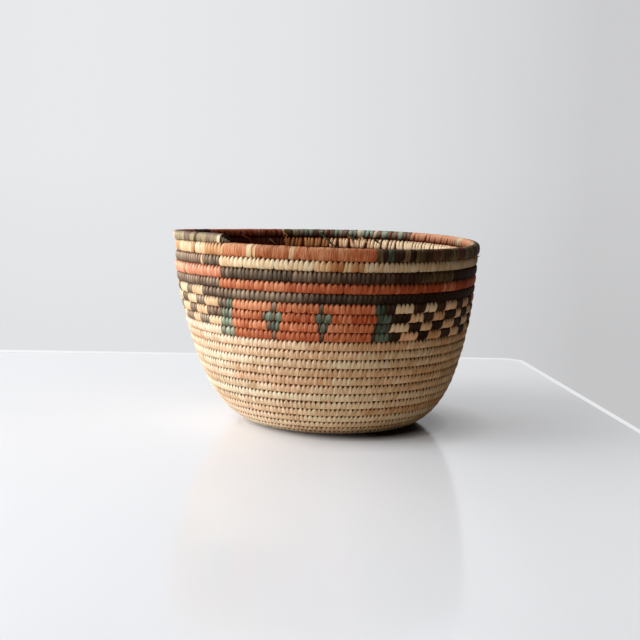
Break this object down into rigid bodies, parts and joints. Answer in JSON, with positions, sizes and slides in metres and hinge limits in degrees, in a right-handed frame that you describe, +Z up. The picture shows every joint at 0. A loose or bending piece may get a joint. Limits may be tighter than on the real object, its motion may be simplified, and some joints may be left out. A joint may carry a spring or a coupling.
{
  "type": "coiled basket",
  "caption": "Open bowl-shaped coiled basket: a spiral grass coil wrapped row by row in natural and dyed splint, on a flat base.",
  "frame": {"origin": "on the surface that the basket stands on, under the middle of its outline", "axes": "+Z up, -Y towards the front as pictured, +X to the right"},
  "size_m": [0.2654, 0.2654, 0.1667],
  "materials": {
    "natural": "dry undyed palm or grass splint, satin, with fine lengthwise fibres",
    "cream": "pale splint, satin",
    "terracotta": "splint dyed terracotta, satin",
    "dark": "splint dyed charcoal brown, satin",
    "brown": "splint dyed dark reddish brown, satin",
    "teal": "splint dyed grey green, satin",
    "grass": "dry grass stems, matt"
  },
  "bodies": {
    "root": {"base_coil": "natural", "coil_end_binding": "dark", "cream_row_wrap": "cream", "foundation_bundle": "grass", "lower_dark_row_wrap": "dark", "natural_row_01_wrap": "natural", "natural_row_02_wrap": "natural", "natural_row_03_wrap": "natural", "natural_row_04_wrap": "natural", "natural_row_05_wrap": "natural", "natural_row_06_wrap": "natural", "natural_row_07_wrap": "natural", "natural_row_08_wrap": "natural", "natural_row_09_wrap": "natural", "natural_row_10_wrap": "natural", "natural_row_11_wrap": "natural", "natural_row_12_wrap": "natural", "natural_row_13_wrap": "natural", "natural_row_14_wrap": "natural", "pattern_row_1_back_field": "terracotta", "pattern_row_1_front_field": "terracotta", "pattern_row_1_left_checks": "cream", "pattern_row_1_right_checks": "cream", "pattern_row_2_back_field": "terracotta", "pattern_row_2_front_field": "terracotta", "pattern_row_2_left_checks": "cream", "pattern_row_2_right_checks": "cream", "pattern_row_3_back_field": "terracotta", "pattern_row_3_front_field": "terracotta", "pattern_row_3_left_checks": "cream", "pattern_row_3_right_checks": "cream", "pattern_row_4_back_field": "terracotta", "pattern_row_4_front_field": "terracotta", "pattern_row_4_left_checks": "cream", "pattern_row_4_right_checks": "cream", "rim_wrap_back_brown": "brown", "rim_wrap_back_striped": "teal", "rim_wrap_back_terracotta": "terracotta", "rim_wrap_front_terracotta": "terracotta", "rim_wrap_left_dark": "dark", "rim_wrap_left_striped": "cream", "rim_wrap_right_dark": "dark", "start_knot": "grass", "terracotta_row_wrap": "terracotta", "upper_dark_row_wrap": "dark"}
  },
  "joints": []
}
